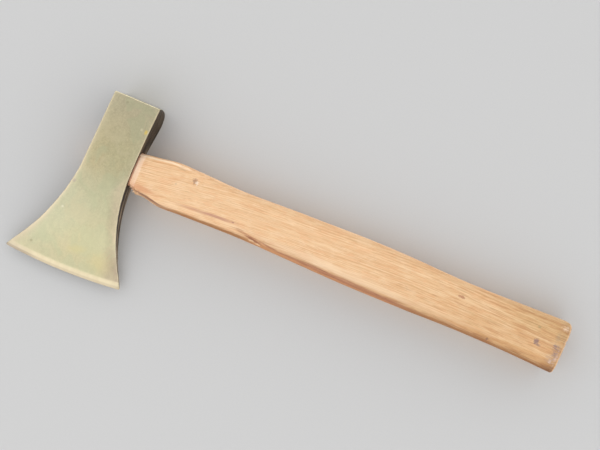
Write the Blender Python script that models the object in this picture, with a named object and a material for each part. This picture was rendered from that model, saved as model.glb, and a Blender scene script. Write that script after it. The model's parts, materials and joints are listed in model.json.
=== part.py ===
"""Hatchet with a cast bronze head on a wooden handle, lying on its side as it comes to rest.

The pieces are the head, the handle whose tongue fills the head's eye, a hardwood wedge in the
tongue's saw kerf, and two small metal wedges driven across it.

Each piece is drawn upright in the tool's own axes, in millimetres: X runs along the handle from
the head to the butt, Y runs up to the poll and down to the cutting edge, and Z is the thickness.
The empty "lying" then turns the whole tool into its resting pose, in metres, with the middle of
its box over the origin and its lowest point at Z = 0.
"""

import math

import bpy
from mathutils import Vector

MM = 0.001

# Fit between pieces: the air left where two pieces touch.
FIT = 0.3

# Head. Distances "down" the head run from the poll face to the cutting edge.
POLL_Y = 47.2
HEAD_LENGTH = 136.1
EDGE_RADIUS = 405.0
EDGE_APEX_X = -12.5
EDGE_CORNER_RADIUS = 1.8
EDGE_THICKNESS = 0.5
ARC_STARTS = 84.0
BEVEL = 5.2
MICRO_BEVEL = 1.8
MICRO_BEVEL_THICKNESS = 1.7
CHAMFER = 0.7
LOWER_HEEL_EDGE = [(0, -4.2), (1, -2.4), (3, -0.8), (8, 0.5), (22, 0.5), (32, 0.0)]
TOE_SIDE = [(0, -14.1), (44, -17.2), (60, -18.6), (78, -22.5), (95, -28.5), (104, -32.4),
            (117, -39.5), (134, -50.4)]
HEEL_SIDE = [(0, 20.2), (30, 18.2), (60, 17.5), (78, 19.0), (95, 22.9), (113, 29.5), (134, 40.4)]
THICKNESS = [(0, 28.0), (16, 26.8), (36, 24.6), (56, 22.0), (71, 19.4), (91, 14.6), (121, 5.9), (131, 3.7)]
TOE_ROLL = [(0, 0.3), (45, 0.4), (78, 0.9), (112, 1.0), (131, 0.5)]
HEEL_ROLL = [(0, 0.1), (45, 0.2), (78, 1.2), (98, 1.6), (114, 1.4), (131, 0.6)]
TOE_ROLL_WIDTH = 6.0
HEEL_ROLL_WIDTH = 9.0
POLL_ROWS = [0.7, 1.4, 2.6, 4.5, 7.0]
BODY_STEPS = 21

# Eye: a straight oval hole along X that opens out towards the toe side.
EYE_Y = 0.5
EYE_EXPONENT = 3.2
EYE_HEEL_X = 18.6
EYE_HEEL_SIZE = (25.4, 16.8)
EYE_TOE_X = -19.6
EYE_TOE_SIZE = (27.2, 18.0)
EYE_OVERRUN = 12.0

# Handle.
TONGUE_END_X = -17.7
TONGUE_END_SLOPE = 0.078
BUTT_X = 348.3
HANDLE_TOP = [(18.6, 12.8), (23, 13.8), (30, 14.7), (43, 16.8), (60, 16.8), (90, 16.1), (140, 18.2),
              (205, 20.3), (275, 19.3), (348.3, 21.5)]
HANDLE_BOTTOM = [(18.6, -11.9), (20.2, -14.2), (23, -16.0), (30, -16.0), (43, -17.6), (60, -17.0),
                 (90, -16.0), (190, -17.0), (235, -16.5), (275, -15.4), (310, -15.5), (348.3, -16.8)]
HANDLE_HALF_THICKNESS = [(18.6, 8.1), (23, 10.2), (30, 10.6), (60, 10.8), (150, 10.6), (280, 10.8),
                         (348.3, 11.7)]
HANDLE_EXPONENT = [(18.6, 3.2), (30, 4.4), (120, 4.2), (348.3, 4.4)]
COLLAR_ROWS = [18.6, 19.4, 20.2, 21.5, 23, 26, 30, 34, 38.5, 43, 48, 54, 60]
GRIP_STEPS = 24
BUTT_TOP_RADIUS = 2.6
BUTT_BOTTOM_RADIUS = 1.8
BUTT_FACE_RADIUS = 1.5
ROUND_STEPS = 5
SECTION_POINTS = 40

# Wooden wedge in the kerf, and the metal wedges across it: sizes at the head end and at the tip.
KERF_END_X = 12.5
KERF = 1.6
KERF_WEDGE_TIP_X = 8.0
KERF_WEDGE_THICKNESS = (3.8, 1.1)
KERF_WEDGE_HALF_WIDTH = (13.0, 12.5)
CROSS_WEDGE_YS = {"cross_wedge_poll_side": 7.0, "cross_wedge_blade_side": -6.0}
CROSS_WEDGE_TIP_X = -6.0
CROSS_WEDGE_THICKNESS = (2.2, 0.7)
CROSS_WEDGE_HALF_WIDTH = (5.6, 4.8)
WEDGES_PROUD = 0.2
SLOT_OVERRUN = 20.0

# How the tool comes to rest on its side.
ROLL = math.radians(4.45)
PITCH = math.radians(-0.07)


def clear_scene():
    for old in list(bpy.data.objects):
        bpy.data.objects.remove(old, do_unlink=True)


def material(name, colour, roughness, metallic):
    made = bpy.data.materials.new(name)
    made.use_nodes = True
    shader = made.node_tree.nodes["Principled BSDF"]
    shader.inputs["Base Color"].default_value = (*colour, 1.0)
    shader.inputs["Roughness"].default_value = roughness
    shader.inputs["Metallic"].default_value = metallic
    return made


def through(keys, at):
    """Value at one place of the smooth curve that passes through (place, value) keys."""
    if at <= keys[0][0]:
        return keys[0][1]
    if at >= keys[-1][0]:
        return keys[-1][1]
    slopes = [(b[1] - a[1]) / (b[0] - a[0]) for a, b in zip(keys, keys[1:])]
    tangents = [slopes[0]]
    for i in range(1, len(slopes)):
        before = keys[i][0] - keys[i - 1][0]
        after = keys[i + 1][0] - keys[i][0]
        tangents.append((slopes[i - 1] * after + slopes[i] * before) / (before + after))
    tangents.append(slopes[-1])
    i = max(n for n in range(len(slopes)) if keys[n][0] <= at)
    span = keys[i + 1][0] - keys[i][0]
    t = (at - keys[i][0]) / span
    start = keys[i][1] * (2 * t**3 - 3 * t**2 + 1) + tangents[i] * span * (t**3 - 2 * t**2 + t)
    end = keys[i + 1][1] * (3 * t**2 - 2 * t**3) + tangents[i + 1] * span * (t**3 - t**2)
    return start + end


def corner(radius, inside):
    """How far a rounded corner of this radius stands back, at a distance inside the end."""
    if inside >= radius:
        return 0.0
    return radius - math.sqrt(radius**2 - (radius - inside) ** 2)


def mesh_object(name, points, faces, look, parent):
    """One object from points in millimetres, with its faces turned outwards."""
    mesh = bpy.data.meshes.new(name)
    mesh.from_pydata([Vector(p) * MM for p in points], [], faces)
    mesh.validate()
    volume = 0.0
    for face in faces:
        a, *rest = [Vector(points[i]) for i in face]
        for b, c in zip(rest, rest[1:]):
            volume += a.dot(b.cross(c))
    if volume < 0:
        mesh.flip_normals()
    mesh.shade_smooth()
    mesh.set_sharp_from_angle(angle=math.radians(30))
    made = bpy.data.objects.new(name, mesh)
    bpy.context.scene.collection.objects.link(made)
    made.parent = parent
    if look:
        mesh.materials.append(look)
    return made


def bridge(rows):
    """Quads that join closed rows of points, one row after the other."""
    size = len(rows[0])
    faces = []
    for r in range(len(rows) - 1):
        for i in range(size):
            j = (i + 1) % size
            faces.append((r * size + i, r * size + j, (r + 1) * size + j, (r + 1) * size + i))
    return faces


def loft(name, rows, look, parent):
    """A closed solid from closed rows of points, with a flat face over each end."""
    size = len(rows[0])
    faces = bridge(rows)
    faces.append(tuple(reversed(range(size))))
    faces.append(tuple((len(rows) - 1) * size + i for i in range(size)))
    return mesh_object(name, [p for row in rows for p in row], faces, look, parent)


def cut(target, cutter, name):
    cutter.hide_render = True
    cutter.display_type = "WIRE"
    change = target.modifiers.new(name, "BOOLEAN")
    change.operation = "DIFFERENCE"
    change.solver = "EXACT"
    change.object = cutter


def sag(x):
    """How far the curved cutting edge stands back from its apex, at one place across the head."""
    return (x - EDGE_APEX_X) ** 2 / (2 * EDGE_RADIUS)


def head_width_at(down, arc, pulled_in):
    """X of the head's toe side and heel side on the row that crosses the head this far down."""
    toe = heel = 0.0
    for _ in range(6):
        toe = through(TOE_SIDE, down - arc * sag(toe)) + pulled_in
        heel = through(HEEL_SIDE, down - arc * sag(heel)) - pulled_in
    return toe, heel


def head_row(down, half, arc, inset, pulled_in):
    """One closed row around the head: along the upper cheek, the heel side and back."""
    toe, heel = head_width_at(down, arc, pulled_in)
    toe += inset
    heel -= inset
    chamfer = min(CHAMFER, 0.4 * half)
    low = toe + chamfer
    high = heel - chamfer
    steps = [0.0, 0.04, 0.09, 0.16, 0.25, 0.4, 0.55, 0.68, 0.78, 0.86, 0.93, 1.0]
    cheek = []
    for step in steps:
        x = low + (high - low) * step
        near_toe = max(0.0, 1 - (x - toe) / TOE_ROLL_WIDTH)
        near_heel = max(0.0, 1 - (heel - x) / HEEL_ROLL_WIDTH)
        drop = through(TOE_ROLL, down) * near_toe**2 + through(HEEL_ROLL, down) * near_heel**2
        drop = min(drop, 0.45 * half)
        cheek.append((x, half - inset - drop))
    heel_z = cheek[-1][1] - chamfer
    toe_z = cheek[0][1] - chamfer
    worn = through(LOWER_HEEL_EDGE, down)
    lower_cheek = [(x + worn * max(0.0, 1 - (heel - x) / HEEL_ROLL_WIDTH), -z) for x, z in cheek]
    outline = cheek + [(heel, heel_z), (heel + worn, -heel_z)]
    outline += reversed(lower_cheek)
    outline += [(toe, -toe_z), (toe, toe_z)]
    return [(x, POLL_Y - down + arc * sag(x), z) for x, z in outline]


def make_head(look, parent):
    rows = [head_row(0.0, through(THICKNESS, 0) / 2, 0.0, CHAMFER, 0.0)]
    bevel_at = HEAD_LENGTH - BEVEL
    last = POLL_ROWS[-1]
    steps = [last + (bevel_at - last) * step / BODY_STEPS for step in range(1, BODY_STEPS + 1)]
    for down in POLL_ROWS + steps:
        arc = max(0.0, (down - ARC_STARTS) / (bevel_at - ARC_STARTS))
        arc = arc * arc * (3 - 2 * arc)
        rows.append(head_row(down, through(THICKNESS, down) / 2, arc, 0.0, 0.0))
    for left in (MICRO_BEVEL, 0.7, 0.0):
        if left == MICRO_BEVEL:
            half = MICRO_BEVEL_THICKNESS / 2
        else:
            half = (EDGE_THICKNESS + (MICRO_BEVEL_THICKNESS - EDGE_THICKNESS) * left / MICRO_BEVEL) / 2
        rows.append(head_row(HEAD_LENGTH - left, half, 1.0, 0.0, corner(EDGE_CORNER_RADIUS, left)))
    return loft("head", rows, look, parent)


def oval(x, centre_y, half_y, half_z, exponent):
    """A closed row of points round a section across X: an oval with flattened sides."""
    points = []
    for i in range(SECTION_POINTS):
        angle = 2 * math.pi * i / SECTION_POINTS
        c = math.cos(angle)
        s = math.sin(angle)
        y = math.copysign(abs(c) ** (2 / exponent), c) * half_y
        z = math.copysign(abs(s) ** (2 / exponent), s) * half_z
        points.append((x, centre_y + y, z))
    return points


def eye_row(x, less):
    """The eye's outline at X, drawn in by a distance on every side."""
    along = (x - EYE_HEEL_X) / (EYE_TOE_X - EYE_HEEL_X)
    half_y, half_z = [(a + (b - a) * along) / 2 - less for a, b in zip(EYE_HEEL_SIZE, EYE_TOE_SIZE)]
    return oval(x, EYE_Y, half_y, half_z, EYE_EXPONENT)


def make_eye_cutter(parent):
    rows = [eye_row(EYE_TOE_X - EYE_OVERRUN, 0.0), eye_row(EYE_HEEL_X + EYE_OVERRUN, 0.0)]
    return loft("eye_cutter", rows, None, parent)


def handle_row(x, inside):
    """One section of the handle outside the head; inside is the distance to the butt's end."""
    top = through(HANDLE_TOP, x) - corner(BUTT_TOP_RADIUS, inside)
    bottom = through(HANDLE_BOTTOM, x) + corner(BUTT_BOTTOM_RADIUS, inside)
    half_z = through(HANDLE_HALF_THICKNESS, x) - corner(BUTT_FACE_RADIUS, inside)
    return oval(x, (top + bottom) / 2, (top - bottom) / 2, half_z, through(HANDLE_EXPONENT, x))


def tongue_end_x(y):
    """The tongue is sawn off parallel to the head's toe side."""
    return TONGUE_END_X + TONGUE_END_SLOPE * (y - EYE_Y)


def make_handle(look, parent):
    rows = [[(tongue_end_x(y), y, z) for _, y, z in eye_row(TONGUE_END_X, FIT)]]
    rows += [eye_row(x, FIT) for x in (EYE_TOE_X / 2, 0.0, EYE_HEEL_X / 2)]
    rows += [handle_row(x, BUTT_X) for x in COLLAR_ROWS]
    grip_end = BUTT_X - BUTT_TOP_RADIUS
    for step in range(1, GRIP_STEPS + 1):
        x = COLLAR_ROWS[-1] + (grip_end - COLLAR_ROWS[-1]) * step / GRIP_STEPS
        rows.append(handle_row(x, BUTT_X - x))
    for step in range(1, ROUND_STEPS + 1):
        inside = BUTT_TOP_RADIUS * (1 - math.sin(math.pi / 2 * step / ROUND_STEPS))
        rows.append(handle_row(BUTT_X - inside, inside))
    return loft("handle", rows, look, parent)


def wedge_rows(tip_x, centre_y, half_y, half_z, ends, grow):
    """Rectangles across a wedge, one for each (end, proud): end 0 is its head end and 1 its tip."""
    rows = []
    for end, proud in ends:
        ys = half_y[end] + grow
        zs = half_z[end] + grow
        row = []
        for y, z in ((ys, zs), (-ys, zs), (-ys, -zs), (ys, -zs)):
            x = tip_x + grow if end else tongue_end_x(centre_y + y) - proud
            row.append((x, centre_y + y, z))
        rows.append(row)
    return rows


def kerf_wedge_rows():
    half_z = [size / 2 for size in KERF_WEDGE_THICKNESS]
    ends = [(0, WEDGES_PROUD), (1, 0.0)]
    return wedge_rows(KERF_WEDGE_TIP_X, EYE_Y, KERF_WEDGE_HALF_WIDTH, half_z, ends, 0.0)


def cross_wedge_rows(y, ends, grow):
    half_y = [size / 2 for size in CROSS_WEDGE_THICKNESS]
    return wedge_rows(CROSS_WEDGE_TIP_X, y, half_y, CROSS_WEDGE_HALF_WIDTH, ends, grow)


def make_kerf_cutter(parent):
    """The slot that the wooden wedge opens in the tongue, and the saw kerf that runs on past it."""
    wide = EYE_TOE_SIZE[0]
    half_end = KERF_WEDGE_THICKNESS[0] / 2 + FIT
    half_tip = KERF / 2
    start = TONGUE_END_X - SLOT_OVERRUN
    outline = [(start, half_end), (TONGUE_END_X, half_end), (KERF_WEDGE_TIP_X + FIT, half_tip),
               (KERF_END_X, half_tip), (KERF_END_X, -half_tip), (KERF_WEDGE_TIP_X + FIT, -half_tip),
               (TONGUE_END_X, -half_end), (start, -half_end)]
    rows = [[(x, y, z) for x, z in outline] for y in (-wide, wide)]
    return loft("kerf_cutter", rows, None, parent)


def rest_on_ground(parent, pieces):
    """Turns the tool onto its side, then brings the middle of its box over the origin."""
    parent.rotation_euler = (ROLL, PITCH, 0.0)
    bpy.context.view_layer.update()
    corners = [piece.matrix_world @ v.co for piece in pieces for v in piece.data.vertices]
    low = [min(c[k] for c in corners) for k in range(3)]
    high = [max(c[k] for c in corners) for k in range(3)]
    parent.location = (-(low[0] + high[0]) / 2, -(low[1] + high[1]) / 2, -low[2])


def main():
    clear_scene()
    lying = bpy.data.objects.new("lying", None)
    bpy.context.scene.collection.objects.link(lying)
    bronze = material("bronze", (0.50, 0.44, 0.27), 0.42, 1.0)
    ash = material("ash", (0.80, 0.55, 0.33), 0.55, 0.0)
    wedge_wood = material("wedge_wood", (0.47, 0.27, 0.13), 0.6, 0.0)
    brass = material("brass", (0.60, 0.46, 0.22), 0.35, 1.0)

    head = make_head(bronze, lying)
    cut(head, make_eye_cutter(lying), "eye")

    handle = make_handle(ash, lying)
    cut(handle, make_kerf_cutter(lying), "kerf")

    kerf_wedge = loft("kerf_wedge", kerf_wedge_rows(), wedge_wood, lying)

    pieces = [head, handle, kerf_wedge]
    for name, y in CROSS_WEDGE_YS.items():
        rows = cross_wedge_rows(y, [(0, WEDGES_PROUD), (1, 0.0)], 0.0)
        pieces.append(loft(name, rows, brass, lying))
        rows = cross_wedge_rows(y, [(0, SLOT_OVERRUN), (0, 0.0), (1, 0.0)], FIT)
        cutter = loft(name + "_cutter", rows, None, lying)
        cut(handle, cutter, name)
        cut(kerf_wedge, cutter, name)
    rest_on_ground(lying, pieces)


main()
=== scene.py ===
"""Looks of the hatchet: its cast bronze head, its hardwood handle and the three wedges in the eye.

Each piece is rebuilt finely over its CAD node, with a procedural material of its own. They are
drawn in the tool's own axes, in millimetres: X runs along the handle from the head to the butt,
Y up to the poll and down to the cutting edge, and Z is the thickness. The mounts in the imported
record give the place of those axes in the row frame.
"""

import json
import math
from functools import reduce

import bmesh
import bpy
import numpy as np
from mathutils import Matrix, Vector, kdtree, noise


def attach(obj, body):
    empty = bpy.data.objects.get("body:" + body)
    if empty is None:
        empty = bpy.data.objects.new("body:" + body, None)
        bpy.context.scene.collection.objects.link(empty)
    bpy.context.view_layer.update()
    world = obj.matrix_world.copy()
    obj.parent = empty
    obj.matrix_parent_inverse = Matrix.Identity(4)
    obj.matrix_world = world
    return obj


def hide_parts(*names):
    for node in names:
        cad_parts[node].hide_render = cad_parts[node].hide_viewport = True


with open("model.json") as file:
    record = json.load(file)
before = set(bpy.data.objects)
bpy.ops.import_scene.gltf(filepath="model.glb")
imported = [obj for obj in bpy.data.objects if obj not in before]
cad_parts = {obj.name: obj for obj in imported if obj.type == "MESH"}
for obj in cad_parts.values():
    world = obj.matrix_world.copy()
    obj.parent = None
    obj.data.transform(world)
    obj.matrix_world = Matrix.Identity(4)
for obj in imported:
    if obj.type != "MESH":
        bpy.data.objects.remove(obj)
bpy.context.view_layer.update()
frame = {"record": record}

MM = 0.001

# Head: the CAD's own sizes. Distances "down" the head run from the poll face to the edge.
POLL_Y = 47.2
HEAD_LENGTH = 136.1
EDGE_RADIUS = 405.0
EDGE_APEX_X = -12.5
EDGE_CORNER_RADIUS = 1.8
EDGE_THICKNESS = 0.5
ARC_STARTS = 84.0
BEVEL = 5.2
MICRO_BEVEL = 1.8
MICRO_BEVEL_THICKNESS = 1.7
LOWER_HEEL_EDGE = [(0, -4.2), (1, -2.4), (3, -0.8), (8, 0.5), (22, 0.5), (32, 0.0)]
TOE_SIDE = [(0, -14.1), (44, -17.2), (60, -18.6), (78, -22.5), (95, -28.5), (104, -32.4),
            (117, -39.5), (134, -50.4)]
HEEL_SIDE = [(0, 20.2), (30, 18.2), (60, 17.5), (78, 19.0), (95, 22.9), (113, 29.5), (134, 40.4)]
THICKNESS = [(0, 28.0), (16, 26.8), (36, 24.6), (56, 22.0), (71, 19.4), (91, 14.6), (121, 5.9),
             (131, 3.7)]
TOE_ROLL = [(0, 0.3), (45, 0.4), (78, 0.9), (112, 1.0), (131, 0.5)]
HEEL_ROLL = [(0, 0.1), (45, 0.2), (78, 1.2), (98, 1.6), (114, 1.4), (131, 0.6)]
TOE_ROLL_WIDTH = 6.0
HEEL_ROLL_WIDTH = 9.0

# Head: what the fine mesh adds.
ARRIS = 0.62
ARRIS_VARIES = 0.2
HEAD_ROW = 0.85
CHEEK_POINTS = 84
ARRIS_POINTS = 3
SIDE_POINTS = 26
POLL_RINGS = 16
LINISHING = 0.05
CASTING = 0.11
PARTING_LINE = 0.16
RIM_WIDTH = 0.75
TOE_RIM_WIDTH = (1.7, 4.6)
HEEL_RIM_WIDTH = 4.6
POLL_UNEVENNESS = 0.07
NICK_DEPTH = 0.12
EDGE_ROWS = (1.35, 0.95, 0.6, 0.35, 0.18, 0.07, 0.0)
# Dents in the upper cheek: x, y, radius, depth.
CHEEK_DENTS = [(-18.6, -22.9, 0.9, 0.1), (-2.7, 43.3, 0.8, 0.12), (13.3, 28.9, 0.9, 0.08),
               (-33.2, -76.5, 1.0, 0.06)]
# What the head's mesh keeps for its material.
HEAD_VALUES = ("arris", "side", "bevel", "micro", "rim", "toe_rim_highlight", "heel_rim_highlight")

# Eye.
EYE_Y = 0.5
EYE_EXPONENT = 3.2
EYE_HEEL_X = 18.6
EYE_HEEL_SIZE = (25.4, 16.8)
EYE_TOE_X = -19.6
EYE_TOE_SIZE = (27.2, 18.0)
EYE_MOUTH = 0.5
SNUG = 0.06

# Handle.
TONGUE_END_X = -17.7
TONGUE_END_SLOPE = 0.078
BUTT_X = 348.3
BUTT_Y = 2.35
HANDLE_TOP = [(18.6, 12.8), (23, 13.8), (30, 14.7), (43, 16.8), (60, 16.8), (90, 16.1),
              (140, 18.2), (205, 20.3), (275, 19.3), (348.3, 21.5)]
HANDLE_BOTTOM = [(18.6, -11.9), (20.2, -14.2), (23, -16.0), (30, -16.0), (43, -17.6), (60, -17.0),
                 (90, -16.0), (190, -17.0), (235, -16.5), (275, -15.4), (310, -15.5),
                 (348.3, -16.8)]
HANDLE_HALF_THICKNESS = [(18.6, 8.1), (23, 10.2), (30, 10.6), (60, 10.8), (150, 10.6),
                         (280, 10.8), (348.3, 11.7)]
HANDLE_EXPONENT = [(18.6, 5.5), (30, 6.2), (60, 5.4), (120, 4.4), (348.3, 4.8)]
COLLAR_FACET = (9.6, 0.24)
COLLAR_X = 18.0
BUTT_TOP_RADIUS = 2.6
BUTT_BOTTOM_RADIUS = 1.0
BUTT_FACE_RADIUS = 1.5
PARED = 0.65
HANDLE_POINTS = 116
RING_PITCH = 1.2
HANDLE_ROW = 0.85
COLLAR_ROW = 0.4
COLLAR_ENDS_X = 46.0
TONGUE_ROW = 1.3
BUTT_STEPS = 8
CAP_RINGS = 14
# The split at the collar is a straight line on the upper face.
SPLIT_X = 32.6
SPLIT_Y = -14.2
SPLIT_SLOPE = 0.145
SPLIT_HALF_WIDTH = 0.4
SPLIT_DEPTH = 0.3
# Dents in the upper face: x, y, radius, depth, raised rim.
PITS = [(62.4, 10.0, 2.1, 0.75, 0.3), (328.3, 0.2, 2.1, 0.3, 0), (267.5, 9.0, 1.7, 0.14, 0),
        (340.2, 3.0, 1.6, 0.15, 0), (345.4, -6.2, 2.4, 0.12, 0)]
# Slivers torn up at the collar's lower corner: start, end, width.
SLIVERS = [((21.4, -11.4, 7.3), (19.1, -12.3, 7.4), 0.40),
           ((23.4, -12.2, 6.8), (20.8, -13.6, 6.6), 0.45),
           ((22.2, -11.6, 8.0), (19.4, -11.2, 8.7), 0.30),
           ((25.0, -12.6, 7.4), (22.2, -15.0, 7.0), 0.62),
           ((28.4, -13.6, 7.4), (24.4, -14.6, 7.2), 0.40)]
# What the handle's mesh keeps for its material, beside the grain.
HANDLE_VALUES = ("end", "end_rim_highlight", "torn", "chip", "low_arris_shade", "high_arris_shade_and_highlight")

# Grain: it climbs across the handle at the head, and runs straight further on.
GRAIN_RISE = 22.0
GRAIN_RUN = 90.0

# Wedges, at the head end and at the tip.
KERF_END_X = 12.5
KERF = 1.6
KERF_WEDGE_TIP_X = 8.0
KERF_WEDGE_THICKNESS = (3.8, 1.1)
KERF_WEDGE_WIDTH = (26.0, 25.0)
CROSS_WEDGE_YS = {"cross_wedge_poll_side": 7.0, "cross_wedge_blade_side": -6.0}
CROSS_WEDGE_TIP_X = -6.0
CROSS_WEDGE_THICKNESS = (2.2, 0.7)
CROSS_WEDGE_WIDTH = (11.2, 9.6)
WEDGES_PROUD = 0.2
WEDGE_POINTS = 64
WEDGE_EXPONENT = 9.0
WEDGE_ROWS = 30
SLOT_POINTS = 32
SAWN_FACING = (0.55, 0.85)


def tool_axes():
    """The tool's own axes as a matrix in the row frame, worked out from the two mounts."""
    mounts = {m["name"]: m for m in frame["record"]["mounts"]}
    along = Vector(mounts["butt_face"]["axis"]).normalized()
    through_head = along.cross(Vector(mounts["poll_face"]["axis"])).normalized()
    up = through_head.cross(along)
    turn = Matrix((along, up, through_head)).transposed()
    butt = Vector(mounts["butt_face"]["pos_m"])
    origin = butt - turn @ Vector((BUTT_X, BUTT_Y, 0.0)) * MM
    return Matrix.Translation(origin) @ turn.to_4x4()


def through(keys, at):
    """Value at one place of the smooth curve that passes through (place, value) keys."""
    if at <= keys[0][0]:
        return keys[0][1]
    if at >= keys[-1][0]:
        return keys[-1][1]
    slopes = [(b[1] - a[1]) / (b[0] - a[0]) for a, b in zip(keys, keys[1:])]
    tangents = [slopes[0]]
    for i in range(1, len(slopes)):
        before = keys[i][0] - keys[i - 1][0]
        after = keys[i + 1][0] - keys[i][0]
        tangents.append((slopes[i - 1] * after + slopes[i] * before) / (before + after))
    tangents.append(slopes[-1])
    i = max(n for n in range(len(slopes)) if keys[n][0] <= at)
    span = keys[i + 1][0] - keys[i][0]
    t = (at - keys[i][0]) / span
    start = keys[i][1] * (2 * t**3 - 3 * t**2 + 1) + tangents[i] * span * (t**3 - 2 * t**2 + t)
    end = keys[i + 1][1] * (3 * t**2 - 2 * t**3) + tangents[i + 1] * span * (t**3 - t**2)
    return start + end


def corner(radius, inside):
    """How far a rounded corner of this radius stands back, at a distance inside the end."""
    if inside >= radius:
        return 0.0
    return radius - math.sqrt(radius**2 - (radius - inside) ** 2)


def smooth(value, low, high):
    """0 below low and 1 above high, with a soft step between them."""
    t = np.clip((value - low) / (high - low), 0.0, 1.0)
    return t * t * (3 - 2 * t)


def uneven(points, size, seed, octaves=1):
    """Noise of about -1 to 1 at each point; size is how long its lumps are along each axis."""
    scaled = points / np.array(size) + seed
    return np.array([noise.fractal(Vector(p), 1.0, 2.0, octaves) for p in scaled])


def show(name, data):
    made = bpy.data.objects.new(name, data)
    bpy.context.scene.collection.objects.link(made)
    return made


def loft(name, rows):
    """A solid in the tool's axes through closed rows of points in millimetres."""
    rows = [np.asarray(row, float) for row in rows]
    size, last = len(rows[0]), (len(rows) - 1) * len(rows[0])
    faces = []
    for start in range(0, last, size):
        for i in range(size):
            j = (i + 1) % size
            faces.append((start + i, start + j, start + size + j, start + size + i))
    faces += [tuple(reversed(range(size))), tuple(range(last, last + size))]
    mesh = bpy.data.meshes.new(name)
    mesh.from_pydata((np.concatenate(rows) * MM).tolist(), [], faces)
    mesh.validate()
    shape = bmesh.new()
    shape.from_mesh(mesh)
    if shape.calc_volume(signed=True) < 0:
        bmesh.ops.reverse_faces(shape, faces=shape.faces)
    shape.to_mesh(mesh)
    shape.free()
    return show(name, mesh)


def cap_rings(rim, rings):
    """Rows inside a rim that close its flat end with small faces."""
    centre = rim.mean(axis=0)
    return [centre + (rim - centre) * share for share in np.linspace(1, 0.02, rings + 1)[1:]]


def vectors_of(items, name):
    flat = np.zeros(len(items) * 3)
    items.foreach_get(name, flat)
    return flat.reshape(-1, 3)


def points_of(piece):
    return vectors_of(piece.data.vertices, "co") / MM


def normals_of(piece):
    return vectors_of(piece.data.vertex_normals, "vector")


def push_out(piece, amounts):
    """Moves each point along its normal, by millimetres."""
    moved = points_of(piece) + normals_of(piece) * amounts[:, None]
    piece.data.vertices.foreach_set("co", (moved * MM).ravel())
    piece.data.update()


def cut(target, cutter):
    """Takes the cutter's solid out of the target's mesh, for good."""
    change = target.modifiers.new("cut", "BOOLEAN")
    change.operation = "DIFFERENCE"
    change.solver = "EXACT"
    change.object = cutter
    graph = bpy.context.evaluated_depsgraph_get()
    mesh = bpy.data.meshes.new_from_object(target.evaluated_get(graph), depsgraph=graph)
    target.modifiers.clear()
    target.data = mesh
    bpy.data.objects.remove(cutter, do_unlink=True)


def store(piece, name, values):
    """Keeps a number or a vector for each point, for the material to read."""
    values = np.asarray(values, np.float32)
    kind = "FLOAT_VECTOR" if values.ndim == 2 else "FLOAT"
    made = piece.data.attributes.new(name, kind, "POINT")
    made.data.foreach_set("vector" if values.ndim == 2 else "value", values.ravel())


def nearest(points, known):
    """For each point, the number of the nearest known point."""
    tree = kdtree.KDTree(len(known))
    for i, p in enumerate(known):
        tree.insert(p, i)
    tree.balance()
    return [tree.find(p)[1] for p in points]


def finish_piece(piece, node, look, crease, values):
    """Keeps what the material reads, and puts the piece over its CAD node in the row frame."""
    for name, numbers in {"tool": points_of(piece), **values}.items():
        store(piece, name, numbers)
    piece.data.shade_smooth()
    piece.data.set_sharp_from_angle(angle=math.radians(crease))
    piece.data.materials.append(look)
    piece.data.transform(TOOL)
    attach(piece, "root")
    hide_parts(node)


# ---- head


def sag(x):
    """How far the curved cutting edge stands back from its apex, at one place across the head."""
    return (x - EDGE_APEX_X) ** 2 / (2 * EDGE_RADIUS)


def head_width_at(down, arc, pulled_in):
    """X of the head's toe side and heel side on the row that crosses the head this far down."""
    toe = heel = 0.0
    for _ in range(6):
        toe = through(TOE_SIDE, down - arc * sag(toe)) + pulled_in
        heel = through(HEEL_SIDE, down - arc * sag(heel)) - pulled_in
    return toe, heel


def arris_at(down, which):
    """Radius of one of the four long arrises, a little different all along it."""
    return ARRIS + ARRIS_VARIES * noise.noise(Vector((down / 11.0, 7.3 * which, 0.0)))


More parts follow.
